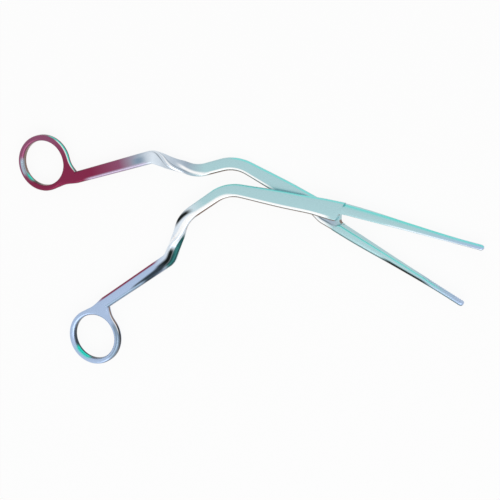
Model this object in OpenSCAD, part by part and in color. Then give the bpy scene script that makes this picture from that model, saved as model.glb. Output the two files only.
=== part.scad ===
// Magill forceps: two forged steel halves that cross at a lap joint on one screw.
// Millimetres. The pivot axis is Z, the jaws point along +X and the part lies on z = 0.
// Each half is drawn with its jaws shut along +X, then turned to its place at rest.

/* [Opening] */
// Angle between the two halves as they lie
rest_opening = 17.8; // [4:0.2:24]

/* [Jaws] */
// Pivot to the end of the tips
jaw_reach = 94.8; // [80:0.2:120]
// Width of a jaw at its root, across the bite
jaw_root_width = 5; // [4.6:0.1:6.5]
// Width of a jaw at its tip
jaw_tip_width = 2.6; // [2:0.1:4]
// Height of a jaw at its tip
jaw_tip_height = 4; // [3.4:0.1:6]
// Half of the gap left between the shut gripping faces
bite_gap = 0.06; // [0.03:0.01:0.2]
// Length of the toothed gripping face
teeth_length = 20; // [12:1:36]
// Distance between teeth
tooth_pitch = 1.25; // [0.8:0.05:2]
// Depth of the cuts between teeth
tooth_depth = 0.3; // [0.15:0.01:0.5]
// Width of the hollow along the gripping face
hollow_width = 1.8; // [1:0.1:2.4]
// Depth of that hollow
hollow_depth = 0.6; // [0.3:0.05:0.9]

/* [Joint] */
// Thickness of each lap
lap_thick = 3.3; // [2.8:0.1:4.5]
// Running gap between the laps
lap_gap = 0.06; // [0.03:0.01:0.2]
// Width of the laps at the pivot
lap_width = 9; // [8:0.1:11]
// How far the lower lap swells on the side of its jaw
cheek = 1.8; // [0:0.1:2.6]
// How far the end of the upper lap flares on the side away from its jaw
lap_flare = 1.3; // [0:0.1:2]
// Pivot to the end of the laps
lap_reach = 17.5; // [14:0.1:22]
// Gap between the end of a lap and the shoulder of the other half
shoulder_gap = 0.9; // [0.6:0.1:2]
// Radius of the fillet where the end of a lap runs into its jaw
notch_round = 2; // [1.4:0.1:2.2]

/* [Screw] */
// Diameter of the plain neck of the screw
screw_dia = 3.8; // [3:0.1:4.6]
// Radial running gap round that neck
screw_gap = 0.04; // [0.02:0.01:0.08]
// Diameter of the screw's head
head_dia = 6.2; // [5.4:0.1:7]
// Height of the screw's head
head_height = 1.2; // [0.8:0.1:1.5]
// Radial gap round the head
head_gap = 0.05; // [0.03:0.01:0.2]
// Gap over the head
head_play = 0.05; // [0.02:0.01:0.1]
// Width of the slot in the head
slot_width = 0.9; // [0.6:0.1:1.2]
// Depth of that slot
slot_depth = 0.6; // [0.4:0.1:0.8]
// Steel left over the end of the screw
screw_cover = 0.8; // [0.5:0.1:1.2]

/* [Shanks] */
// Angle between the necks and the bite of the jaws
neck_lean = 3.5; // [0:0.1:5]
// Pivot to the first bend
neck_length = 38.9; // [34:0.1:46]
// Width of the neck where it meets the first bend
neck_width = 6.8; // [5.6:0.1:8]
// First bend, the same way on both halves
offset_angle = 41.6; // [35:0.2:50]
// Radius of the first bend, along the middle of the bar
offset_radius = 22; // [16:0.5:26]
// Straight stretch of the lower shank after the first bend
lower_run = 9.8; // [7:0.1:13]
// Straight stretch of the upper shank after the first bend
upper_run = 16.5; // [12:0.1:20]
// Angle by which each shank splays outward, and by which its handle turns back
splay_angle = 32.4; // [27:0.2:40]
// Radius of the splay bends
splay_radius = 20; // [16:0.5:22]
// Straight stretch between the splay and the handle
stride = 18; // [16:0.5:24]
// Radius of the bends into the handles
return_radius = 7.5; // [6:0.5:12]
// Twist of the bar between the neck and the handle
twist_angle = 90; // [60:1:90]

/* [Handles] */
// Last bend to the middle of the finger ring, along the handle
handle_length = 63.8; // [54:0.2:75]
// Width of the handle bar at its fork, seen from above
bar_width = 6.4; // [5.4:0.1:7]
// How much wider the bar is at the last bend
bar_swell = 0.6; // [0:0.1:1.2]
// Height of the handle bar
bar_height = 4.3; // [3.6:0.1:5]
// Corner radius of the bar
bar_round = 1.5; // [0.8:0.1:1.7]
// Diameter of the finger holes
ring_hole = 24.8; // [22:0.2:30]
// Width of the ring's bar, seen from above
ring_bar = 3.1; // [2.6:0.1:4]
// Height of the ring's bar
ring_height = 4.8; // [3.8:0.1:5.2]
// How far the rings lie outward of their handles
ring_offset = 12.4; // [8:0.1:13.4]

/* [Hidden] */
$fn = 96;

// Heights of the two laps and of the middle plane that the jaws and rings share
upper_floor = lap_thick + lap_gap;
stack_height = 2 * lap_thick + lap_gap;
middle = stack_height / 2;

// How much lower than the two laps the root of a jaw stands, in all
root_relief = 0.12;
// Where the roots of the jaws start, past the end of the other half's lap
root_start = lap_reach + shoulder_gap;
// How far the shoulders and the ends of the laps lean back for each millimetre across
shoulder_lean = 0.4;
// How much further a lap reaches on its jaw's side than half its width
jaw_side = 0.5;
// Distance from the start of each splay to where the bar may leave its own layer
lower_part = 15.5;
upper_part = 11;
// Corner radius of the laps and necks, of the two sides of a jaw and of the rings
lap_round = 1.3;
bite_round = 0.6;
back_round = 2.1;
ring_round = min(ring_bar, ring_height) * 0.45;
// Length of the rounded end of a jaw
tip_length = 1.6;
// Middle line of the finger rings
ring_radius = (ring_hole + ring_bar) / 2;
// How far before the middle of the ring the bar starts to part
fork_length = 16;

// Steps round one rounded corner of a section, degrees between the rings of points in a bend,
// and distance between them along a stretch that changes
corner_steps = 4;
bend_step = 7;
run_step = 2;

function smooth(a, b, x) = let (u = min(1, max(0, (x - a) / (b - a)))) u * u * (3 - 2 * u);
function mix(a, b, u) = a + (b - a) * u;
function sum(v, n) = n == 0 ? 0 : v[n - 1][0] + sum(v, n - 1);

// A stretch of path is [length, turn]; a bend is given by its angle and radius
function bend(angle, radius) = [abs(angle) * PI / 180 * radius, angle];

// Place and heading after distance d of one stretch that starts at p
function advance(p, stretch, d) =
    stretch[1] == 0
    ? [p[0] + d * cos(p[2]), p[1] + d * sin(p[2]), p[2]]
    : let (r = stretch[0] / (stretch[1] * PI / 180), h = p[2] + stretch[1] * d / stretch[0])
      [p[0] + r * (sin(h) - sin(p[2])), p[1] - r * (cos(h) - cos(p[2])), h];

// Place and heading at distance s along a path whose first stretch starts at p
function place(path, s, p, i = 0) =
    i == len(path) - 1 || s <= path[i][0]
    ? advance(p, path[i], s)
    : place(path, s - path[i][0], advance(p, path[i], path[i][0]), i + 1);

// Arc of a section's corner about c, from angle a through a quarter turn
function corner(c, r, a) = [
    for (k = [0:corner_steps])
        let (b = a + 90 * k / corner_steps)
        c + r * [cos(b), sin(b)]
];

// Rounded rectangle of width w across and height h
function bar_section(w, h, r) = [
    for (q = [0:3])
        each corner([(q == 0 || q == 3 ? 1 : -1) * (w / 2 - r), (q < 2 ? 1 : -1) * (h / 2 - r)], r, 90 * q)
];

// Section of a jaw: back from the bite to w, with a hollow of depth g in a bite that lies at y = f
function jaw_section(f, w, h, g) =
    let (rb = min(back_round, h / 2 - 0.2, (w - f) - bite_round - 0.1),
         ri = min(bite_round, (w - f) / 4),
         side = min(hollow_width / 2, h / 2 - ri - 0.2))
    concat(
        corner([w - rb, h / 2 - rb], rb, 0),
        corner([f + ri, h / 2 - ri], ri, 90),
        [[f, side], [f + g, side / 2], [f + g, -side / 2], [f, -side]],
        corner([f + ri, ri - h / 2], ri, 180),
        corner([w - rb, rb - h / 2], rb, 270)
    );

// Skins a list of rings of points, each ring a closed loop, with flat ends
module skin(rings) {
    n = len(rings[0]);
    m = len(rings);
    polyhedron(
        points = [for (ring = rings) each ring],
        faces = concat(
            [[for (k = [0:n - 1]) k]],
            [for (j = [0:m - 2], k = [0:n - 1])
                let (a = j * n + k, b = j * n + (k + 1) % n)
                each [[a, a + n, b], [b, a + n, b + n]]],
            [[for (k = [n - 1:-1:0]) (m - 1) * n + k]]
        )
    );
}

// Ring of points of a section that stands across a path at p, turned about it by twist,
// raised to z, moved across by side, and leaning along x by lean for each millimetre across
function station(p, section, z, twist = 0, side = 0, lean = 0) = [
    for (q = section)
        let (out = q[0] * cos(twist) - q[1] * sin(twist) + side,
             up = q[0] * sin(twist) + q[1] * cos(twist))
        [p[0] - out * sin(p[2]) + lean * out, p[1] + out * cos(p[2]), z + up]
];

// Sideways step from the handle's line to the middle line of the ring
fork_step = ring_radius - ring_offset;
fork_angle = 2 * atan(fork_step / fork_length);
fork_radius = fork_length / 2 / sin(fork_angle);

// Half of the height that a bar section of width w and height h takes up when it is turned by a
function reach_up(w, h, r, a) = (w / 2 - r) * sin(a) + (h / 2 - r) * cos(a) + r;

// Path of a shank from the pivot: neck, first bend, run, splay, stride, return, handle and the
// fork that meets the ring; hand is 1 on the lower half, whose shank splays to the right
function shank_path(run, hand) = [
    [neck_length, 0],
    bend(offset_angle, offset_radius),
    [run, 0],
    bend(-hand * splay_angle, splay_radius),
    [stride, 0],
    bend(hand * splay_angle, return_radius),
    [handle_length - fork_length, 0],
    bend(hand * fork_angle, fork_radius),
    bend(-hand * fork_angle, fork_radius)
];

lower_path = shank_path(lower_run, 1);
upper_path = shank_path(upper_run, -1);
neck_start = [0, 0, 180 + neck_lean];

// Distances along stretch i of a path, in steps no longer than step
function steps(path, i, step) =
    let (n = ceil(path[i][0] / step))
    [for (k = [1:n]) sum(path, i) + path[i][0] * k / n];
function bend_steps(path, i) = steps(path, i, path[i][0] / ceil(abs(path[i][1]) / bend_step) + 0.001);

// Lap, neck, bends and handle as one bar that ends in the ring; part_length is how far into its
// splay the bar clears the other half when the jaws are shut
module shank(path, lap_z, swell, flare, hand, part_length) {
    splay_start = sum(path, 3);
    twist_from = splay_start + part_length - 4;
    twist_to = sum(path, 5) + 2;
    neck_end = neck_length + 10;
    fork_start = sum(path, 7);
    fork_end = sum(path, 9);
    stations = concat(
        [for (k = [-10:0]) lap_reach * k / 10],
        steps(path, 0, 8),
        bend_steps(path, 1),
        steps(path, 2, 3),
        bend_steps(path, 3),
        steps(path, 4, run_step),
        bend_steps(path, 5),
        steps(path, 6, 10),
        steps(path, 7, 3),
        steps(path, 8, 3)
    );
    skin([
        for (s = stations)
            let (
                t = smooth(twist_from, twist_to, s),
                belly = 2 * t * (1 - t),
                fork = smooth(fork_start - 2, fork_end - 6, s),
                outer = jaw_side * smooth(8, -12, s) + swell * smooth(0, -9, s) * smooth(-lap_reach - 1, -13, s),
                inner = flare * smooth(2, -lap_reach, s),
                neck = mix(lap_width, neck_width, smooth(10, neck_end, s)) + outer + inner,
                flat = mix(neck, bar_width + 0.2, smooth(neck_end, splay_start, s)),
                broad = bar_width + bar_swell * smooth(fork_start, twist_to, s),
                w = mix(flat, bar_height, t) + belly,
                h = mix(mix(lap_thick, broad, t), ring_bar - 0.4, fork) + belly,
                r = mix(mix(lap_round, bar_round, t), ring_bar / 2 - 0.4, fork),
                rise = mix(lap_z, middle, smooth(twist_from + 2, twist_to - 4, s)),
                half_up = reach_up(w, h, r, twist_angle * t),
                z = max(half_up, min(rise, stack_height - half_up))
            )
            station(place(path, s, neck_start), bar_section(w, h, r), z,
                twist_angle * t, hand * (outer - inner) / 2, hand * shoulder_lean * smooth(-6, -lap_reach, s))
    ]);
}

// Point of a cubic curve with ends a and d and handles b and c, and its heading
function curve(a, b, c, d, t) =
    pow(1 - t, 3) * a + 3 * pow(1 - t, 2) * t * b + 3 * (1 - t) * t * t * c + t * t * t * d;
function curve_place(a, b, c, d, t) =
    let (p = curve(a, b, c, d, t), v = curve(a, b, c, d, t + 0.01) - curve(a, b, c, d, t - 0.01))
    [p[0], p[1], atan2(v[1], v[0])];

// Rounded section of the ring
module ring_profile() {
    square([ring_bar, ring_height - 2 * ring_round], center = true);
    square([ring_bar - 2 * ring_round, ring_height], center = true);
    for (x = [-1, 1], y = [-1, 1])
        translate([x * (ring_bar / 2 - ring_round), y * (ring_height / 2 - ring_round)])
            circle(r = ring_round);
}

// Finger ring round the origin, with the handle coming along +X below it, and the heel that
// fills the corner between the two
module finger_ring() {
    rotate_extrude()
        translate([ring_radius, 0])
            ring_profile();
    root = [-fork_length - 0.5, -ring_offset];
    heel = ring_radius * [cos(165), sin(165)];
    heel_width = ring_bar - 0.5;
    skin([
        for (k = [0:8])
            let (t = k / 8)
            station(curve_place(root, root + [4.5, 0], heel - 8 * [sin(165), -cos(165)], heel, t),
                bar_section(mix(bar_width - 2, heel_width, smooth(0, 0.7, t)), bar_height - 0.3, heel_width / 2 - 0.2), 0)
    ]);
}

// Ring at the end of a shank
module ring_end(path, hand) {
    end = place(path, sum(path, len(path)), neck_start);
    translate([end[0], end[1], middle])
        rotate([0, 0, end[2]])
            mirror([0, hand == 1 ? 1 : 0, 0])
                translate([0, ring_radius, 0])
                    finger_ring();
}

// Jaw on the +Y side of the bite
module jaw() {
    teeth_from = jaw_reach - tip_length - teeth_length;
    teeth = floor(teeth_length / tooth_pitch);
    rounding = [for (a = [90:-18:18]) root_start + notch_round * (1 - sin(a))];
    plain_from = root_start + notch_round;
    plain = [for (k = [0:10]) plain_from + (teeth_from - plain_from) * k / 10];
    cuts = [for (k = [1:teeth], v = [0.5, 1]) teeth_from + tooth_pitch * (k - 1 + v)];
    toe = [for (a = [15:15:75]) jaw_reach - tip_length * (1 - sin(a))];
    stations = concat(rounding, plain, cuts, toe);
    cuts_from = len(rounding) + len(plain);
    skin([
        for (i = [0:len(stations) - 1])
            let (
                x = stations[i],
                cut = i >= cuts_from && i < len(stations) - len(toe) && (i - cuts_from) % 2 == 0 ? tooth_depth : 0,
                near = max(0, root_start + notch_round - x) / notch_round,
                relief = notch_round * (1 - sqrt(1 - near * near)),
                past = max(0, x - jaw_reach + tip_length) / tip_length,
                end = sqrt(1 - past * past),
                w = mix(jaw_root_width, jaw_tip_width, smooth(root_start, jaw_reach - 6, x)),
                root_height = stack_height - root_relief,
                h = mix(root_height, jaw_tip_height, smooth(root_start, root_start + 45, x)) * mix(0.3, 1, end),
                face = cut + relief + w * (1 - end) * 0.3,
                back = w * mix(0.55, 1, end),
                hollow = hollow_depth * smooth(teeth_from - 6, teeth_from + 2, x) * smooth(jaw_reach - 4, jaw_reach - 8, x),
                lean = -shoulder_lean * smooth(root_start + 14, root_start, x)
            )
            [for (q = jaw_section(face, back, h, hollow))
                [x + lean * q[0], bite_gap + q[0], middle + q[1]]]
    ]);
}

// Fillet between the end of a lap and the bite of its jaw, with the jaw on the +Y side; hand is
// 1 on the lower half
module notch_web(hand, floor) {
    slant = abs(hand * shoulder_lean + sin(neck_lean));
    across = (lap_reach * sin(neck_lean) + hand * bite_gap) / cos(neck_lean);
    corner_x = lap_reach * cos(neck_lean) + (hand * shoulder_lean + sin(neck_lean)) * across;
    spread = 90 + atan(slant);
    middle_x = corner_x + notch_round / tan(spread / 2);
    middle_y = bite_gap - notch_round;
    arc_steps = 6;
    translate([0, 0, floor])
        linear_extrude(lap_thick - root_relief)
            polygon(concat(
                [
                    [root_start + notch_round, bite_gap],
                    [root_start + notch_round, bite_gap + 1.5],
                    [corner_x - 1, bite_gap + 3],
                    [corner_x - 3, middle_y]
                ],
                [
                    for (k = [0:arc_steps])
                        let (a = mix(270 - spread, 90, k / arc_steps))
                        [middle_x + notch_round * cos(a), middle_y + notch_round * sin(a)]
                ]
            ));
}

// Bore for the screw, of diameter d from one height to another
module screw_bore(d, from, to) {
    translate([0, 0, from]) cylinder(d = d, h = to - from);
}

// Half with the lower lap, the jaw on the -Y side and the ring furthest from it
module female_half() {
    color("lightsteelblue") rotate([0, 0, -rest_opening / 2])
        difference() {
            union() {
                shank(lower_path, lap_thick / 2, cheek, 0, 1, lower_part);
                ring_end(lower_path, 1);
                mirror([0, 1, 0]) jaw();
                mirror([0, 1, 0]) notch_web(1, root_relief / 2);
            }
            screw_bore(screw_dia + 2 * screw_gap, head_height - 0.1, lap_thick + 1);
            screw_bore(head_dia + 2 * head_gap, -1, head_height);
        }
}

// Half with the upper lap and the jaw on the +Y side
module male_half() {
    color("silver") rotate([0, 0, rest_opening / 2])
        difference() {
            union() {
                shank(upper_path, upper_floor + lap_thick / 2, 0, lap_flare, -1, upper_part);
                ring_end(upper_path, -1);
                jaw();
                notch_web(-1, upper_floor + root_relief / 2);
            }
            screw_bore(screw_dia, upper_floor - 1, stack_height - screw_cover);
        }
}

// Screw: slotted head let into the lower lap, plain neck, end in the upper lap
module pivot_screw() {
    color("gray")
        difference() {
            union() {
                cylinder(d = head_dia, h = head_height - head_play);
                cylinder(d = screw_dia, h = stack_height - screw_cover);
            }
            translate([0, 0, slot_depth / 2 - 0.5])
                cube([head_dia + 2, slot_width, slot_depth + 1], center = true);
        }
}

female_half();
male_half();
pivot_screw();
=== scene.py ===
import math

import bpy
import numpy as np
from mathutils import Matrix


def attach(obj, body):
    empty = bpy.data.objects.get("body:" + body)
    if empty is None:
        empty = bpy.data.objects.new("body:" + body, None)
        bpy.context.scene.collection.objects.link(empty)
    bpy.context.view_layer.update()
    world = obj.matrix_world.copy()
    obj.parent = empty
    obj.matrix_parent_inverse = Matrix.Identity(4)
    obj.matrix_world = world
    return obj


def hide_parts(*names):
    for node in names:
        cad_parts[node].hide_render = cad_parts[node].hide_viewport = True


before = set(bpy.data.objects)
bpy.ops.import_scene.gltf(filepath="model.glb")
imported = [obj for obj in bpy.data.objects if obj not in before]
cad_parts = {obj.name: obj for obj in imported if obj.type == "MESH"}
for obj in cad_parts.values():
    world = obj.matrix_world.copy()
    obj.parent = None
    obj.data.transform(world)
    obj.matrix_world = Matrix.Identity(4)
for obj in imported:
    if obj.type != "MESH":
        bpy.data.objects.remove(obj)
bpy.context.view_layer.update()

# The lower half: one stainless forging that carries the lower lap, the jaw on the -Y side, the
# twisted shank and the ring that lies furthest from the joint. It is ground, the bar is bent and
# twisted hot, and the whole is polished; what the steel mirrors is painted into its colour as painted
# reflections.
mm = 0.001
opening = 17.8
jaw_reach = 94.8
jaw_root_width, jaw_tip_width, jaw_tip_height = 5.0, 2.6, 4.0
bite_gap = 0.06
teeth_length, tooth_pitch, tooth_depth = 20.0, 1.25, 0.3
hollow_width, hollow_depth = 1.8, 0.6
lap_thick, lap_gap, lap_width, lap_reach = 3.3, 0.06, 9.0, 17.5
cheek = 1.8
shoulder_gap, notch_round, shoulder_lean, jaw_side = 0.9, 2.0, 0.4, 0.5
neck_lean, neck_length, neck_width = 3.5, 38.9, 6.8
offset_angle, offset_radius = 41.6, 22.0
lower_run = 9.8
splay_angle, splay_radius, stride, return_radius = 32.4, 20.0, 18.0, 7.5
lower_part = 15.5
twist_early, twist_late = 4, 2
neck_taper, fork_thin = 10, 0.4
handle_length, bar_width, bar_swell, bar_height = 63.8, 6.4, 0.6, 4.3
ring_hole, ring_bar, ring_height, ring_offset = 24.8, 3.1, 4.8, 12.4
lap_round, bar_round, bite_round, back_round = 1.3, 1.5, 0.6, 2.1
ring_round = 1.4
tip_length = 1.6
fork_length = 16.0
fork_step = (ring_hole + ring_bar) / 2 - ring_offset
fork_angle = 2 * math.degrees(math.atan(fork_step / fork_length))
fork_radius = fork_length / 2 / math.sin(math.radians(fork_angle))
web_root = 17.5
stack_height = 2 * lap_thick + lap_gap
middle = stack_height / 2
root_start = lap_reach + shoulder_gap
ring_radius = (ring_hole + ring_bar) / 2
corner_steps = 8
corner_share = 0.06


def smooth(a, b, x):
    """Rises from 0 at a to 1 at b, level at both ends."""
    u = np.clip((x - a) / (b - a), 0, 1)
    return u * u * (3 - 2 * u)


def mix(a, b, u):
    """Goes from a to b as u goes from 0 to 1."""
    return a + (b - a) * u


def bend(angle, radius):
    """A stretch of path that turns by angle along an arc of that radius."""
    return abs(angle) * math.pi / 180 * radius, angle


def shank_path(run, hand):
    """Stretches of length and turn: neck, first bend, run, splay, stride, return, handle and fork."""
    return [(neck_length, 0), bend(offset_angle, offset_radius), (run, 0),
            bend(-hand * splay_angle, splay_radius), (stride, 0),
            bend(hand * splay_angle, return_radius), (handle_length - fork_length, 0),
            bend(hand * fork_angle, fork_radius), bend(-hand * fork_angle, fork_radius)]


def middle_line(stretches, s):
    """Place and heading at distances s: the heading changes evenly along each stretch, and the
    place is the running sum of its direction, nought at the pivot."""
    fine = np.linspace(s[0], s[-1], 9001)
    knots = np.cumsum([0] + [length for length, turn in stretches])
    turns = np.cumsum([0] + [turn for length, turn in stretches])
    aim = np.radians(180 + neck_lean + np.interp(fine, knots, turns))

    def travelled(rate):
        sums = np.concatenate(([0], np.cumsum((rate[1:] + rate[:-1]) / 2) * (fine[1] - fine[0])))
        return np.interp(s, fine, sums - np.interp(0, fine, sums))

    return travelled(np.cos(aim)), travelled(np.sin(aim)), np.interp(s, fine, aim)


def corner_turns():
    """How far round its section each column lies: a quarter for each side, corners kept short."""
    k = np.arange(corner_steps + 1) / corner_steps
    return np.concatenate([0.125 + 0.25 * q + corner_share * (k - 0.5) for q in range(4)])


def rounded_bars(width, height, corner):
    """Rounded rectangles, one a row: each corner's middle plus its radius times a quarter turn."""
    turn = np.radians(np.concatenate([np.linspace(90 * q, 90 * q + 90, corner_steps + 1) for q in range(4)]))
    side = np.repeat([1, -1, -1, 1], corner_steps + 1)
    top = np.repeat([1, 1, -1, -1], corner_steps + 1)
    width, height, corner = width[:, None], height[:, None], corner[:, None]
    return (side * (width / 2 - corner) + corner * np.cos(turn),
            top * (height / 2 - corner) + corner * np.sin(turn))


def shank_surface(stretches, hand, lap_z, swell, flare, part):
    """The bar from the end of its lap to its fork: a rounded rectangle carried along the path,
    turned through a quarter from the splay to the handle, and raised or lowered to the middle."""
    ends = np.cumsum([0] + [length for length, turn in stretches])
    splay_start, fork_start, fork_end = ends[3], ends[7], ends[9]
    twist_from, twist_to = splay_start + part - twist_early, ends[5] + twist_late
    neck_end = neck_length + neck_taper
    s = np.linspace(-lap_reach, fork_end, 460)
    t = smooth(twist_from, twist_to, s)
    outer = jaw_side * smooth(-8, 12, -s) + swell * smooth(0, 9, -s) * smooth(-lap_reach - 1, -13, s)
    inner = flare * smooth(-2, lap_reach, -s)
    neck = mix(lap_width, neck_width, smooth(10, neck_end, s)) + outer + inner
    flat = mix(neck, bar_width + 0.2, smooth(neck_end, splay_start, s))
    broad = bar_width + bar_swell * smooth(-fork_start, -twist_to, -s)
    fork = smooth(fork_start - 2, fork_end - 6, s)
    belly = 2 * t * (1 - t)
    w = mix(flat, bar_height, t) + belly
    h = mix(mix(lap_thick, broad, t), ring_bar - fork_thin, fork) + belly
    r = mix(mix(lap_round, bar_round, t), ring_bar / 2 - fork_thin, fork)
    twist = np.radians(90 * t)
    reach_up = (w / 2 - r) * np.sin(twist) + (h / 2 - r) * np.cos(twist) + r
    rise = mix(lap_z, middle, smooth(twist_from + 2, twist_to - 4, s))
    z = np.maximum(reach_up, np.minimum(rise, stack_height - reach_up))
    across, up = rounded_bars(w, h, r)
    c, d = np.cos(twist)[:, None], np.sin(twist)[:, None]
    out = across * c - up * d + (hand * (outer - inner) / 2)[:, None]
    x, y, aim = middle_line(stretches, s)
    lean = (hand * shoulder_lean * smooth(6, lap_reach, -s))[:, None]
    points = np.stack([x[:, None] - out * np.sin(aim)[:, None] + lean * out,
                       y[:, None] + out * np.cos(aim)[:, None],
                       z[:, None] + across * d + up * c], axis=-1)
    return points, s, corner_turns()


def ring_outline(around):
    """Distance from the ring's middle to its outer edge, seen from above with the handle coming
    along +X below it: a circle, with a web on the handle's side that fills the heel with a
    rising curve and ends in a flat root inside the handle."""
    outer = ring_hole / 2 + ring_bar
    near, far = ring_offset - bar_width / 2 + 0.1, ring_offset + bar_width / 2 - 1.3
    heel = 180 + math.degrees(math.atan(near / web_root))
    toe = 180 + math.degrees(math.atan(far / web_root))
    heel_radius = math.hypot(web_root, near)
    turn = np.radians(around)
    straight = far / np.maximum(np.abs(np.sin(turn)), 0.2)
    rounded = outer + (heel_radius - outer) * np.clip((around - 176) / (heel - 176), 0, 1) ** 3.5
    root = web_root / np.maximum(np.abs(np.cos(turn)), 0.2)
    toe_side = np.maximum(outer, mix(straight, outer, smooth(toe, 262, around)))
    return np.select([around < 176, around < heel, around < toe, around < 275],
                     [outer, rounded, root, toe_side], outer)


def ring_surface(stretches, hand):
    """The finger ring with its web: a rounded rectangle from the hole to the outline, carried
    round the middle of the ring, and as high as the handle where they meet."""
    fork_end = sum(length for length, turn in stretches)
    x, y, aim = (v[-1] for v in middle_line(stretches, np.array([-1.0, 0.0, fork_end])))
    ahead = np.array([math.cos(aim), math.sin(aim)])
    beside = -hand * np.array([-math.sin(aim), math.cos(aim)])
    centre = np.array([x, y]) + ring_radius * beside
    around = np.sort(np.concatenate([np.linspace(0, 358, 180), np.linspace(200.1, 235.1, 61)]))
    outer = ring_outline(around)
    inner = ring_hole / 2
    level = smooth(175, 206, around) * (1 - smooth(226, 262, around))
    height = mix(ring_height, bar_height + 0.04, level)
    across, up = rounded_bars(outer - inner, height, np.full_like(around, ring_round))
    radius = (outer + inner)[:, None] / 2 + across
    turn = np.radians(around)[:, None]
    plan = centre + (radius * np.cos(turn))[..., None] * ahead + (radius * np.sin(turn))[..., None] * beside
    points = np.concatenate([plan, (middle + up)[..., None]], axis=-1)
    return points, around, corner_turns()


def jaw_surface(hand):
    """A slender jaw: a half-round bar with a flat bite, tapering in width and height, with cross
    cuts and a lengthwise hollow in the bite, a rounded root corner and a rounded end."""
    teeth_from = jaw_reach - tip_length - teeth_length
    quarter = np.radians(np.linspace(90, 6, 9))
    x = np.concatenate([root_start + notch_round * (1 - np.sin(quarter)),
                        np.linspace(root_start + notch_round, teeth_from, 60)[:-1],
                        np.linspace(teeth_from, jaw_reach - tip_length, 16 * 8 + 1),
                        jaw_reach - tip_length * (1 - np.sin(np.radians(np.linspace(6, 84, 14))))])
    teeth = (x > teeth_from) & (x < jaw_reach - tip_length)
    cut = np.where(teeth, tooth_depth * (1 - np.abs(np.cos(np.pi * (x - teeth_from) / tooth_pitch))), 0)
    near = np.clip((root_start + notch_round - x) / notch_round, 0, 1)
    relief = notch_round * (1 - np.sqrt(1 - near * near))
    past = np.clip((x - jaw_reach + tip_length) / tip_length, 0, 1)
    end = np.sqrt(1 - past * past)
    w = mix(jaw_root_width, jaw_tip_width, smooth(root_start, jaw_reach - 6, x))
    h = mix(stack_height - 0.12, jaw_tip_height, smooth(root_start, root_start + 45, x)) * mix(0.3, 1, end)
    face, back = cut + relief + w * (1 - end) * 0.3, w * mix(0.55, 1, end)
    hollow = hollow_depth * smooth(teeth_from - 6, teeth_from + 2, x) * smooth(4, 8, jaw_reach - x)
    rb = np.minimum(back_round, np.minimum(h / 2 - 0.2, back - face - bite_round - 0.1))
    ri = np.minimum(bite_round, (back - face) / 4)
    side = np.minimum(hollow_width / 2, h / 2 - ri - 0.2)
    arc = np.radians(np.linspace(0, 90, corner_steps + 1))

    def corner(middle_out, middle_up, radius, start):
        turn = math.radians(start) + arc
        return (middle_out[:, None] + radius[:, None] * np.cos(turn),
                middle_up[:, None] + radius[:, None] * np.sin(turn))

    slot_out = face[:, None] + hollow[:, None] * np.array([0, 0.75, 1, 0.75, 0])
    slot_up = side[:, None] * np.array([1, 0.6, 0, -0.6, -1])
    parts = [corner(back - rb, h / 2 - rb, rb, 0), corner(face + ri, h / 2 - ri, ri, 90), (slot_out, slot_up),
             corner(face + ri, ri - h / 2, ri, 180), corner(back - rb, rb - h / 2, rb, 270)]
    out = np.concatenate([p[0] for p in parts], axis=1)
    up = np.concatenate([p[1] for p in parts], axis=1)
    lean = (-shoulder_lean * smooth(-root_start - 14, -root_start, -x))[:, None]
    points = np.stack([x[:, None] + lean * out, -hand * (bite_gap + out), middle + up], axis=-1)
    turns = corner_turns()
    bite = np.linspace(0.46, 0.54, 5)
    turns = np.concatenate([turns[:2 * corner_steps + 2], bite, turns[2 * corner_steps + 2:]])
    return points, x, turns


def web_surface(hand):
    """The fillet between the end of a lap and its bite: a plate as thick as the lap whose edge is
    an arc that meets both."""
    slant = abs(hand * shoulder_lean + math.sin(math.radians(neck_lean)))
    lean = math.radians(neck_lean)
    across = (lap_reach * math.sin(lean) + hand * bite_gap) / math.cos(lean)
    corner_x = lap_reach * math.cos(lean) + (hand * shoulder_lean + math.sin(lean)) * across
    spread = 90 + math.degrees(math.atan(slant))
    mid_x, mid_y = corner_x + notch_round / math.tan(math.radians(spread / 2)), bite_gap - notch_round
    a = np.radians(np.linspace(270 - spread, 90, 17))
    arc = np.stack([mid_x + notch_round * np.cos(a), mid_y + notch_round * np.sin(a)], axis=-1)
    plan = np.concatenate([[[root_start + notch_round, bite_gap], [root_start + notch_round, bite_gap + 1.5],
                            [corner_x - 1, bite_gap + 3], [corner_x - 3, mid_y]], arc])
    plan[:, 1] *= -hand
    low = 0.06 if hand == 1 else lap_thick + lap_gap + 0.06
    heights = np.array([low, low + lap_thick - 0.12])
    points = np.concatenate([np.broadcast_to(plan, (2,) + plan.shape),
                             np.broadcast_to(heights[:, None, None], (2, len(plan), 1))], axis=-1)
    return points, np.array([-lap_reach, -lap_reach]), np.linspace(0.09, 0.12, len(plan))


def grid_faces(rows, columns, loop):
    """Corner numbers of the quads between neighbouring rows, with the columns closing up, and
    the same corners counted on past the seam, so that a pattern round the section has no break."""
    r = np.arange(rows if loop else rows - 1)[:, None]
    c = np.arange(columns)[None, :]
    after = (r + 1) % rows
    quads = np.stack([r * columns + c, r * columns + (c + 1) % columns,
                      after * columns + (c + 1) % columns, after * columns + c], axis=-1)
    row = np.stack(np.broadcast_arrays(r, r, r + 1, r + 1), axis=-1) + 0 * c[..., None]
    column = np.stack(np.broadcast_arrays(c, c + 1, c + 1, c), axis=-1) + 0 * r[..., None]
    return quads.reshape(-1, 4), row.reshape(-1, 4), column.reshape(-1, 4)


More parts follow.
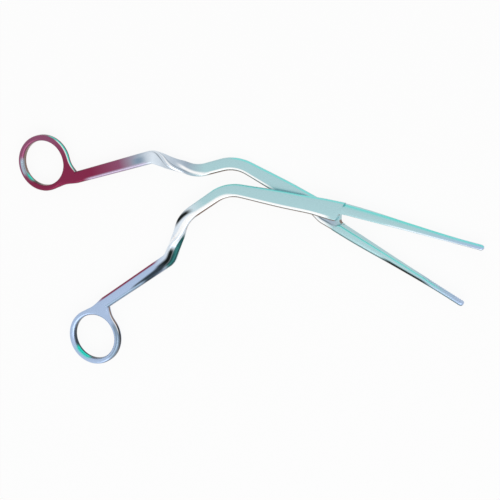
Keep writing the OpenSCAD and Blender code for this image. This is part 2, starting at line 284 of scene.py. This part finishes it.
def forged_half(name, hand, surfaces):
    """One object from several closed surfaces, each with its material: quads from each grid, a flat
    cap on each open end, turned to its place at rest, with how far along and how far round each
    face corner lies kept for the painted reflections."""
    verts, faces, kinds, alongs, turns = [], [], [], [], []
    first = 0
    for (points, places, columns), loop, kind in surfaces:
        rows, count = points.shape[:2]
        quads, row, column = grid_faces(rows, count, loop)
        flat = points.reshape(-1, 3)
        corners = flat[quads]
        middle_point = points.mean(axis=1)
        normals = np.cross(corners[:, 2] - corners[:, 0], corners[:, 3] - corners[:, 1])
        outward = corners.mean(axis=1) - middle_point[row[:, 0]]
        if (normals * outward).sum() < 0:
            quads, row, column = quads[:, ::-1], row[:, ::-1], column[:, ::-1]
        long_places = np.append(places, 2 * places[-1] - places[-2])
        long_columns = np.append(columns, columns[0] + 1)
        verts.append(flat)
        faces += (quads + first).tolist()
        alongs.append(long_places[row].ravel())
        turns.append(long_columns[column].ravel())
        kinds += [kind] * len(quads)
        if not loop:
            ring = np.arange(count)
            flipped = (normals * outward).sum() < 0
            for end, start in ((0, 0), (1, (rows - 1) * count)):
                cap = ring[::-1] if (end == 0) != flipped else ring
                faces.append((cap + start + first).tolist())
                alongs.append(np.full(count, places[-end]))
                turns.append(np.full(count, 0.25))
                kinds.append(kind)
        first += len(flat)
    xyz = np.concatenate(verts)
    angle = math.radians(-hand * opening / 2)
    x, y = xyz[:, 0].copy(), xyz[:, 1].copy()
    xyz[:, 0] = x * math.cos(angle) - y * math.sin(angle)
    xyz[:, 1] = x * math.sin(angle) + y * math.cos(angle)
    mesh = bpy.data.meshes.new(name)
    mesh.from_pydata((xyz * mm).tolist(), [], faces)
    for label, values in (("along", alongs), ("turn", turns)):
        layer = mesh.attributes.new(label, "FLOAT", "CORNER")
        layer.data.foreach_set("value", np.concatenate(values).astype(np.float32))
    mesh.polygons.foreach_set("material_index", np.array(kinds, dtype=np.int32))
    mesh.polygons.foreach_set("use_smooth", np.ones(len(faces), dtype=bool))
    mesh.set_sharp_from_angle(angle=math.radians(38))
    mesh.update()
    piece = bpy.data.objects.new(name, mesh)
    bpy.context.scene.collection.objects.link(piece)
    return piece


def bored(piece, steps, *others):
    """Cuts a bore on the pivot's axis out of the piece, as the surface of revolution through steps
    of radius and height, then joins the other objects of the half to it."""
    turn = np.radians(np.arange(64) * 360 / 64)
    radius, height = np.array(steps).T[..., None]
    points = np.stack([radius * np.cos(turn), radius * np.sin(turn), height + 0 * turn], axis=-1)
    quads = grid_faces(len(steps), 64, False)[0]
    ends = [np.arange(64)[::-1].tolist(), (np.arange(64) + 64 * (len(steps) - 1)).tolist()]
    mesh = bpy.data.meshes.new("bore")
    mesh.from_pydata((points.reshape(-1, 3) * mm).tolist(), [], quads.tolist() + ends)
    cutter = bpy.data.objects.new("bore", mesh)
    bpy.context.scene.collection.objects.link(cutter)
    cut = piece.modifiers.new("bore", "BOOLEAN")
    cut.operation, cut.solver, cut.object = "DIFFERENCE", "EXACT", cutter
    whole = bpy.data.meshes.new_from_object(piece.evaluated_get(bpy.context.evaluated_depsgraph_get()))
    piece.modifiers.clear()
    piece.data = whole
    bpy.data.objects.remove(cutter)
    with bpy.context.temp_override(active_object=piece, object=piece,
                                   selected_editable_objects=[piece, *others]):
        bpy.ops.object.join()
    piece.data.set_sharp_from_angle(angle=math.radians(38))


class Sum:
    """A shader socket that takes part in sums: each operator adds the Math node that it names."""

    def __init__(self, tree, socket):
        self.tree = tree
        self.socket = socket

    def node(self, kind, settings=None, **inputs):
        """Any node: its settings are set first, then its sockets, by name or as in_0, in_1."""
        made = self.tree.nodes.new(kind)
        for key, value in (settings or {}).items():
            setattr(made, key, value)
        for key, value in inputs.items():
            spot = made.inputs[int(key[3:])] if key.startswith("in_") else made.inputs[key.replace("_", " ")]
            if isinstance(value, Sum):
                self.tree.links.new(value.socket, spot)
            else:
                spot.default_value = value
        return made

    def out(self, kind, settings=None, output=0, **inputs):
        """One output of a new node."""
        return Sum(self.tree, self.node(kind, settings, **inputs).outputs[output])

    def math(self, operation, other=0.0, swapped=False):
        first, second = (other, self) if swapped else (self, other)
        return self.out("ShaderNodeMath", {"operation": operation}, in_0=first, in_1=second)

    def __add__(self, other): return self.math("ADD", other)
    __radd__ = __add__
    def __mul__(self, other): return self.math("MULTIPLY", other)
    __rmul__ = __mul__
    def __sub__(self, other): return self.math("SUBTRACT", other)
    def __rsub__(self, other): return self.math("SUBTRACT", other, swapped=True)


# The colours of the painted reflections: what the polished steel mirrors, from white painted highlights to
# black painted dark reflections, painted into its base colour.
tints = dict(
    white=(250, 250, 250), pale=(220, 230, 240), sky=(170, 190, 220), steel=(160, 175, 190),
    slate=(130, 150, 170), dusk=(100, 110, 120), navy=(50, 60, 70), black=(25, 30, 30),
    cyan=(170, 205, 210), aqua=(120, 225, 220), turquoise=(30, 220, 200), pine=(40, 90, 90),
    brown=(130, 110, 100), lilac=(190, 180, 205), plum=(140, 80, 110), crimson=(130, 45, 75),
    maroon=(100, 40, 55))


def linear(colour):
    """A colour of 0 to 255 as the eye sees it, made into light."""
    c = np.array(colour, float) / 255
    return tuple(np.where(c <= 0.04045, c / 12.92, ((c + 0.055) / 1.055) ** 2.4)) + (1.0,)


def length_tint(start, along, stops):
    """Painted reflection along a bar: one ramp through the tints named at a few distances."""
    first, last = stops[0][0], stops[-1][0]
    ramp = start.node("ShaderNodeValToRGB", in_0=(along - first) * (1 / (last - first)))
    while len(ramp.color_ramp.elements) < len(stops):
        ramp.color_ramp.elements.new(0.5)
    for element, (place, name) in zip(ramp.color_ramp.elements, stops):
        element.position = (place - first) / (last - first)
    for element, (place, name) in zip(ramp.color_ramp.elements, stops):
        element.color = linear(tints[name])
    return Sum(start.tree, ramp.outputs[0])


def striped(start, tint, along, turn, stripe, fade):
    """Lays one soft stripe of painted reflection over a tint, a painted highlight where it is light and a
    painted dark reflection where it is dark: it runs straight from one place to another, each a distance
    along and a turn round, has full strength within its width and fades over its soft edge."""
    name, (from_along, from_turn), (to_along, to_turn), width, soft = stripe
    slope = (to_turn - from_turn) / (to_along - from_along)
    aside = (turn - (along * slope + (from_turn - slope * from_along))).math("ABSOLUTE")
    mask = 1.0
    for value, low, high, inside in ((aside, width / 2 - soft, width / 2 + soft, True),
                                     (along, from_along - fade, from_along + fade, False),
                                     (along, to_along - fade, to_along + fade, True)):
        mask = mask * start.out("ShaderNodeMapRange", {"interpolation_type": "SMOOTHSTEP"}, Value=value,
                                From_Min=float(low), From_Max=float(high),
                                To_Min=float(inside), To_Max=float(not inside))
    return start.out("ShaderNodeMix", {"data_type": "RGBA"}, output=2,
                     in_0=mask, in_6=tint, in_7=linear(tints[name]))


def polished_steel(name, stops, stripes, fade, streak, shine=0.26):
    """Mirror-polished steel with painted reflections in its base colour: a tint that changes along the bar,
    stripes laid over it one after the other as painted highlights and painted dark reflections where the bar
    mirrors something else, fine polishing lines and faint smears in its gloss."""
    material = bpy.data.materials.new(name)
    material.use_nodes = True
    tree = material.node_tree
    shader = tree.nodes["Principled BSDF"]
    start = Sum(tree, None)
    along = start.out("ShaderNodeAttribute", {"attribute_name": "along"}, output=2)
    turn = start.out("ShaderNodeAttribute", {"attribute_name": "turn"}, output=2)
    turn = turn - (turn.math("GREATER_THAN", 0.625))
    tint = length_tint(start, along, stops)
    for stripe in stripes:
        tint = striped(start, tint, along, turn, stripe, fade)
    lines = start.out("ShaderNodeCombineXYZ", X=along * streak, Y=turn * 90.0)
    grain = start.out("ShaderNodeTexNoise", Vector=lines, Scale=2.2, Detail=5.0, Roughness=0.65)
    place = start.out("ShaderNodeTexCoord", output=3)
    smear = start.out("ShaderNodeTexNoise", Vector=place, Scale=95.0, Detail=3.0)
    shade = start.out("ShaderNodeMapRange", Value=grain, From_Min=0.25, From_Max=0.75,
                      To_Min=0.9, To_Max=1.06)
    # The base colour: the painted reflections, scaled by the tone of the fine polishing lines.
    painted_reflections_with_grain = start.out("ShaderNodeVectorMath", {"operation": "SCALE"}, Vector=tint, Scale=shade)
    bump = start.out("ShaderNodeBump", Strength=0.05, Distance=0.0001, Height=grain)
    tree.links.new(painted_reflections_with_grain.socket, shader.inputs["Base Color"])
    tree.links.new((shine - 0.05 + smear * 0.12 + grain * 0.04).socket, shader.inputs["Roughness"])
    tree.links.new(bump.socket, shader.inputs["Normal"])
    shader.inputs["Metallic"].default_value = 1.0
    return material


def shank_marks(path):
    """Distances along a shank where its splay, stride, handle and fork start, and where it ends."""
    ends = [sum(length for length, turn in path[:k]) for k in range(len(path) + 1)]
    return ends[3], ends[4], ends[6], ends[7], ends[9]


# A stripe that runs the whole length of a piece starts before its first row and ends beyond its last.
before, beyond = -99, 459


def neck_stripes(splay):
    """Painted reflections on both necks: a brown outer wall as a painted dark reflection, a white painted
    highlight line on its edge and an aqua painted glint on the inner edge.
    Each stripe is its tint, where it starts and ends (along, turn), its width and its soft edge."""
    return [("brown", (before, -0.01), (splay, -0.01), 0.30, 0.006),
            ("white", (-12, 0.16), (splay, 0.16), 0.032, 0.008),
            ("aqua", (before, 0.42), (splay - 16, 0.42), 0.09, 0.02)]


lower_path = shank_path(lower_run, 1)
splay, stride_start, grip, fork, end = shank_marks(lower_path)
# Painted reflections on the lower shank: the ramp from cyan through steel and pale to plum and crimson is
# what the polished bar mirrors, painted into its base colour; over it the white stripes are painted
# highlights, the dusk, slate, steel, brown and maroon stripes painted darker reflections and the lilac stripe
# a pale painted reflection along the handle's lower edge.
lower_bar = polished_steel("lower_shank_steel", [
    (splay, "cyan"), (stride_start, "steel"), (grip - 3, "pale"), (grip + 5, "steel"), (grip + 18, "plum"),
    (fork - 12, "crimson"), (end, "crimson")], neck_stripes(splay) + [
    ("white", (splay, 0.15), (stride_start + 4, 0.28), 0.07, 0.03),
    ("white", (stride_start - 2, 0.11), (grip - 2, 0.2), 0.03, 0.015),
    ("dusk", (stride_start - 2, 0.18), (grip - 3, 0.25), 0.012, 0.012),
    ("dusk", (stride_start + 3, 0.05), (grip - 3, 0.13), 0.012, 0.012),
    ("slate", (grip + 3, 0.0), (grip + 9, 0.0), 0.14, 0.04),
    ("lilac", (grip + 2, -0.105), (fork - 8, -0.12), 0.04, 0.03),
    ("brown", (grip - 4, -0.24), (fork, -0.24), 0.19, 0.01),
    ("maroon", (grip + 14, 0.22), (end, 0.22), 0.15, 0.01),
    ("steel", (-16, 0.215), (2, 0.215), 0.07, 0.03),
    ("dusk", (-14, 0.187), (0, 0.187), 0.012, 0.008)], 3.0, 0.35)
# Painted reflections on the lower ring: plum and crimson all round, a maroon outer wall and a brown inner
# wall as painted dark reflections, steel and black patches on the inner wall, turquoise painted glints on
# both walls and a white painted highlight.
lower_ring = polished_steel("lower_ring_steel", [
    (0, "plum"), (130, "plum"), (190, "crimson"), (245, "crimson"), (320, "crimson"), (360, "plum")], [
    ("maroon", (before, 0.0), (beyond, 0.0), 0.20, 0.015),
    ("brown", (before, 0.5), (beyond, 0.5), 0.20, 0.02),
    ("steel", (before, 0.36), (24, 0.36), 0.14, 0.04),
    ("steel", (345, 0.36), (beyond, 0.36), 0.14, 0.04),
    ("black", (295, 0.47), (320, 0.47), 0.14, 0.02),
    ("turquoise", (322, 0.45), (344, 0.45), 0.13, 0.03),
    ("turquoise", (120, 0.03), (205, 0.03), 0.12, 0.03),
    ("white", (140, 0.1), (207, 0.1), 0.022, 0.01)], 8.0, 0.5)
# Painted reflections on the lower jaw: cyan turning to sky towards the tip, a pine and black painted dark
# reflection along its outer wall and an aqua painted glint along its inner edge.
lower_jaw = polished_steel("lower_jaw_steel", [(60, "cyan"), (jaw_reach, "sky")], [
    ("pine", (before, 0.0), (beyond, 0.0), 0.27, 0.015),
    ("black", (48, 0.02), (74, 0.02), 0.27, 0.015),
    ("aqua", (before, 0.39), (80, 0.39), 0.07, 0.03)], 4.0, 0.5)
lower_half = forged_half("lower_half_forging", 1, [
    (shank_surface(lower_path, 1, lap_thick / 2, cheek, 0, lower_part), False, 0)])
lower_rest = forged_half("lower_rest", 1, [
    (ring_surface(lower_path, 1), True, 0), (jaw_surface(1), False, 1), (web_surface(1), False, 2)])
lower_half.data.materials.append(lower_bar)
for metal in (lower_ring, lower_jaw, lower_bar):
    lower_rest.data.materials.append(metal)
neck_bore, head_bore, head_floor = 1.94, 3.15, 1.2
bore_low, bore_high = -1.0, 4.3
bored(lower_half, [(head_bore, bore_low), (head_bore, head_floor), (neck_bore, head_floor),
                   (neck_bore, bore_high)], lower_rest)
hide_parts("female_half")
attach(lower_half, "lower_half")

# The upper half: the second forging, with the upper lap, the jaw on the +Y side, a shank that
# splays the other way and its own ring. It is made as the first is and crosses over it.
lap_flare = 1.3
upper_run = 16.5
upper_part = 11.0
upper_path = shank_path(upper_run, -1)
splay, stride_start, grip, fork, end = shank_marks(upper_path)
# Painted reflections on the upper shank: the ramp from cyan through pale to sky is what the polished bar
# mirrors, painted into its base colour; over it the white stripes are painted highlights, the black, navy,
# pine, brown and slate stripes painted dark reflections and the crimson stripe a painted reflection along the
# handle's edge.
upper_bar = polished_steel("upper_shank_steel", [
    (splay - 10, "cyan"), (splay + 4, "pale"), (grip - 6, "pale"), (grip + 8, "sky"),
    (end, "sky")], neck_stripes(splay) + [
    ("white", (splay - 26, 0.16), (stride_start, 0.20), 0.06, 0.03),
    ("white", (splay, 0.18), (grip - 8, 0.2), 0.09, 0.03),
    ("black", (splay, 0.30), (stride_start, 0.38), 0.09, 0.03),
    ("brown", (splay, -0.02), (stride_start, -0.08), 0.28, 0.02),
    ("pine", (stride_start + 3, -0.06), (grip + 2, -0.16), 0.16, 0.02),
    ("black", (grip - 10, 0.03), (grip + 7, -0.05), 0.13, 0.04),
    ("navy", (grip + 2, -0.06), (grip + 26, -0.13), 0.12, 0.03),
    ("brown", (grip, -0.25), (end, -0.25), 0.20, 0.01),
    ("slate", (grip + 18, -0.12), (fork, -0.12), 0.05, 0.02),
    ("crimson", (grip + 5, 0.17), (fork, 0.17), 0.13, 0.01)], 3.0, 0.35)
# Painted reflections on the upper ring: sky all round, brown and black on its outer wall and navy on its
# inner wall as painted dark reflections, with a slate patch, a maroon line, turquoise painted glints on the
# inner wall and a white painted highlight.
upper_ring = polished_steel("upper_ring_steel", [(0, "sky"), (360, "sky")], [
    ("brown", (before, 0.0), (beyond, 0.0), 0.18, 0.02),
    ("navy", (before, 0.5), (beyond, 0.5), 0.22, 0.02),
    ("turquoise", (before, 0.43), (40, 0.43), 0.13, 0.03),
    ("turquoise", (356, 0.43), (beyond, 0.43), 0.13, 0.03),
    ("black", (75, 0.02), (175, 0.02), 0.20, 0.02),
    ("slate", (95, 0.2), (180, 0.2), 0.22, 0.05),
    ("white", (160, 0.09), (200, 0.09), 0.03, 0.015),
    ("maroon", (216, 0.4), (262, 0.4), 0.04, 0.02)], 8.0, 0.5)
# Painted reflections on the upper jaw: cyan turning to sky towards the tip, aqua and turquoise painted glints
# along its back edge, a pale painted highlight, and brown and black painted dark reflections on its bite.
upper_jaw = polished_steel("upper_jaw_steel", [(56, "cyan"), (jaw_reach, "sky")], [
    ("aqua", (before, 0.09), (beyond, 0.09), 0.07, 0.02),
    ("turquoise", (40, 0.05), (76, 0.05), 0.09, 0.03),
    ("brown", (before, 0.48), (beyond, 0.48), 0.16, 0.01),
    ("pale", (44, 0.33), (beyond, 0.33), 0.07, 0.04),
    ("black", (78, 0.47), (beyond, 0.47), 0.20, 0.02)], 4.0, 0.5)
upper_half = forged_half("upper_half_forging", -1, [
    (shank_surface(upper_path, -1, lap_thick * 1.5 + lap_gap, 0, lap_flare, upper_part), False, 0)])
upper_rest = forged_half("upper_rest", -1, [
    (ring_surface(upper_path, -1), True, 0), (jaw_surface(-1), False, 1), (web_surface(-1), False, 2)])
upper_half.data.materials.append(upper_bar)
for metal in (upper_ring, upper_jaw, upper_bar):
    upper_rest.data.materials.append(metal)
screw_radius, thread_from, screw_top = 1.9, 2.36, 5.86
bored(upper_half, [(screw_radius, thread_from), (screw_radius, screw_top)], upper_rest)
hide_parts("male_half")
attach(upper_half, "upper_half")

# The pivot screw: a slotted screw turned from bar, its head let into the underside of the lower
# lap. It keeps its solid from the frame and gets the fine circular marks that a lathe leaves.
turned = bpy.data.materials.new("turned_screw_steel")
turned.use_nodes = True
screw_tree = turned.node_tree
screw_shader = screw_tree.nodes["Principled BSDF"]
begin = Sum(screw_tree, None)
spot = begin.out("ShaderNodeTexCoord", output=3)
flat_spot = begin.out("ShaderNodeVectorMath", {"operation": "MULTIPLY"}, in_0=spot, in_1=(1, 1, 0))
reach = begin.out("ShaderNodeVectorMath", {"operation": "LENGTH"}, output=1, in_0=flat_spot)
lathe_waves = 42000.0
marks = begin.out("ShaderNodeMath", {"operation": "SINE"}, in_0=reach * lathe_waves)
wear = begin.out("ShaderNodeTexNoise", Vector=spot, Scale=900.0, Detail=4.0)
tone = begin.out("ShaderNodeMapRange", Value=marks * 0.3 + wear, From_Min=0.1, From_Max=0.9,
                 To_Min=0.0, To_Max=1.0)
steel_tone = begin.out("ShaderNodeMix", {"data_type": "RGBA"}, output=2, in_0=tone,
                       in_6=linear((138, 144, 150)), in_7=linear((196, 202, 208)))
screw_bump = begin.out("ShaderNodeBump", Strength=0.25, Distance=0.00003, Height=marks * 0.5 + wear)
screw_tree.links.new(steel_tone.socket, screw_shader.inputs["Base Color"])
screw_tree.links.new((0.24 + wear * 0.16).socket, screw_shader.inputs["Roughness"])
screw_tree.links.new(screw_bump.socket, screw_shader.inputs["Normal"])
screw_shader.inputs["Metallic"].default_value = 1.0
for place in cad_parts["pivot_screw"].material_slots:
    place.material = turned

# The floor is a plain pale board under the instrument. The camera and the polished steel see it
# nearly white, and it keeps a faint shadow.
floor_half, floor_top = 1.2, -0.0002
floor_mesh = bpy.data.meshes.new("floor")
floor_mesh.from_pydata([(x * floor_half, y * floor_half, floor_top)
                        for x, y in ((-1, -1), (1, -1), (1, 1), (-1, 1))], [], [(0, 1, 2, 3)])
floor = bpy.data.objects.new("floor", floor_mesh)
bpy.context.scene.collection.objects.link(floor)
board = bpy.data.materials.new("pale_board")
board.use_nodes = True
board_tree = board.node_tree
board_tree.nodes["Principled BSDF"].inputs["Base Color"].default_value = (0.9, 0.9, 0.9, 1)
board_tree.nodes["Principled BSDF"].inputs["Roughness"].default_value = 0.9
base = Sum(board_tree, None)
rays = base.node("ShaderNodeLightPath")
seen = Sum(board_tree, rays.outputs["Is Camera Ray"]).math(
    "MAXIMUM", Sum(board_tree, rays.outputs["Is Glossy Ray"]))
glow = base.node("ShaderNodeEmission", Color=(1, 1, 1, 1), Strength=1.0)
blend = base.node("ShaderNodeMixShader")
board_tree.links.new((seen * 0.92).socket, blend.inputs[0])
board_tree.links.new(board_tree.nodes["Principled BSDF"].outputs[0], blend.inputs[1])
board_tree.links.new(glow.outputs[0], blend.inputs[2])
board_tree.links.new(blend.outputs[0], board_tree.nodes["Material Output"].inputs[0])
floor_mesh.materials.append(board)

# The light is that of a photographer's tent: an even pale surround with two broad soft lamps at a
# plain level, set where the flat faces don't mirror them.
world = bpy.data.worlds.new("tent")
bpy.context.scene.world = world
world.use_nodes = True
sky = world.node_tree
tent = Sum(sky, None)
ray = tent.node("ShaderNodeLightPath")
direct = Sum(sky, ray.outputs["Is Camera Ray"]).math("MAXIMUM", Sum(sky, ray.outputs["Is Glossy Ray"]))
direct = direct.math("MAXIMUM", Sum(sky, ray.outputs["Is Transmission Ray"]))
background = sky.nodes["Background"]
background.inputs["Color"].default_value = (1, 1, 1, 1)
sky.links.new((direct * 0.4 + 0.6).socket, background.inputs["Strength"])
for label, place, size, power in (
        ("key_lamp", (0.9, -0.35, 0.9), 0.9, 3.2), ("fill_lamp", (0.2, -0.95, 0.9), 0.9, 2.6)):
    lamp = bpy.data.lights.new(label, "AREA")
    lamp.size = size
    lamp.energy = power
    holder = bpy.data.objects.new(label, lamp)
    holder.location = place
    holder.rotation_euler = (math.atan2(math.hypot(place[0], place[1]), place[2]), 0,
                             math.atan2(place[1], place[0]) + math.pi / 2)
    bpy.context.scene.collection.objects.link(holder)

# The camera stands well above the instrument, to the right of the joint and beyond it, with a
# long lens, so that the rings lie at the lower left and the jaws at the right.
camera_data = bpy.data.cameras.new("camera")
camera_data.sensor_width = 36.0
camera_data.lens = 139.95
camera_data.clip_end = 10.0
camera = bpy.data.objects.new("camera", camera_data)
camera_turn = math.radians(0.5)
seen_from = (0.29031, 0.31234, 0.91604)
camera.location = (seen_from[0] * math.cos(camera_turn) - seen_from[1] * math.sin(camera_turn),
                   seen_from[0] * math.sin(camera_turn) + seen_from[1] * math.cos(camera_turn), seen_from[2])
camera.rotation_mode = "XYZ"
camera.rotation_euler = (math.radians(-13.2726), math.radians(24.0105), math.radians(17.8796) + camera_turn)
bpy.context.scene.collection.objects.link(camera)
bpy.context.scene.camera = camera
bpy.context.scene.view_settings.view_transform = "Standard"

bpy.context.view_layer.update()
